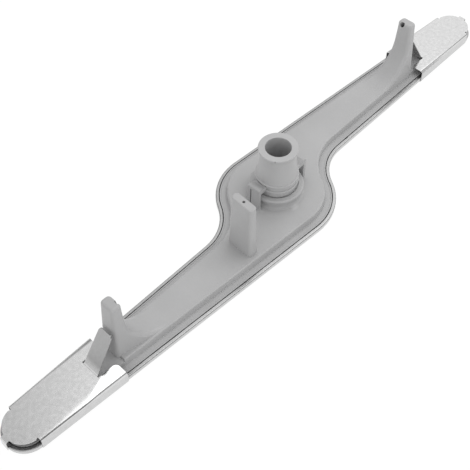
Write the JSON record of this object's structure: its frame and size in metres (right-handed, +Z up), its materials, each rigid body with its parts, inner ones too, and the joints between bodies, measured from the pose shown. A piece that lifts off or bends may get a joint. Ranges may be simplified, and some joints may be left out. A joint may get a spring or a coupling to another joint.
{
  "type": "dishwasher spray arm",
  "caption": "Two-ended lower spray arm with a steel shell, a grey moulded cover carrying nozzle towers, sliding end caps and a latched hub bush.",
  "frame": {"origin": "hub axis, on the flat outer face of the steel shell", "axes": "+Z up the hub towards the lip of the bush, +X along the arm, towards the end without the tower beside the hub"},
  "size_m": [0.4952, 0.0842, 0.0555],
  "materials": {
    "stainless": "fine brushed stainless sheet",
    "grey_plastic": "satin moulded polypropylene",
    "dark_seal": "soft dark seal"
  },
  "bodies": {
    "arm": {"spray_shell": "stainless", "base_cover": "grey_plastic", "seam_seal": "dark_seal"},
    "bush": {"hub_bush": "grey_plastic"},
    "near_cap": {"end_cap_near": "stainless"},
    "far_cap": {"end_cap_far": "stainless"}
  },
  "joints": [
    {"name": "bush_spin", "type": "hinge", "parent": "arm", "child": "bush", "pos_m": [0, 0, 0.03], "axis": [0, 0, 1], "continuous": true},
    {"name": "near_cap_slide", "type": "slide", "parent": "arm", "child": "near_cap", "axis": [-0.9958, 0.0911, 0], "range_m": [0, 0.08]},
    {"name": "far_cap_slide", "type": "slide", "parent": "arm", "child": "far_cap", "axis": [0.9958, -0.0911, 0], "range_m": [0, 0.08]}
  ]
}
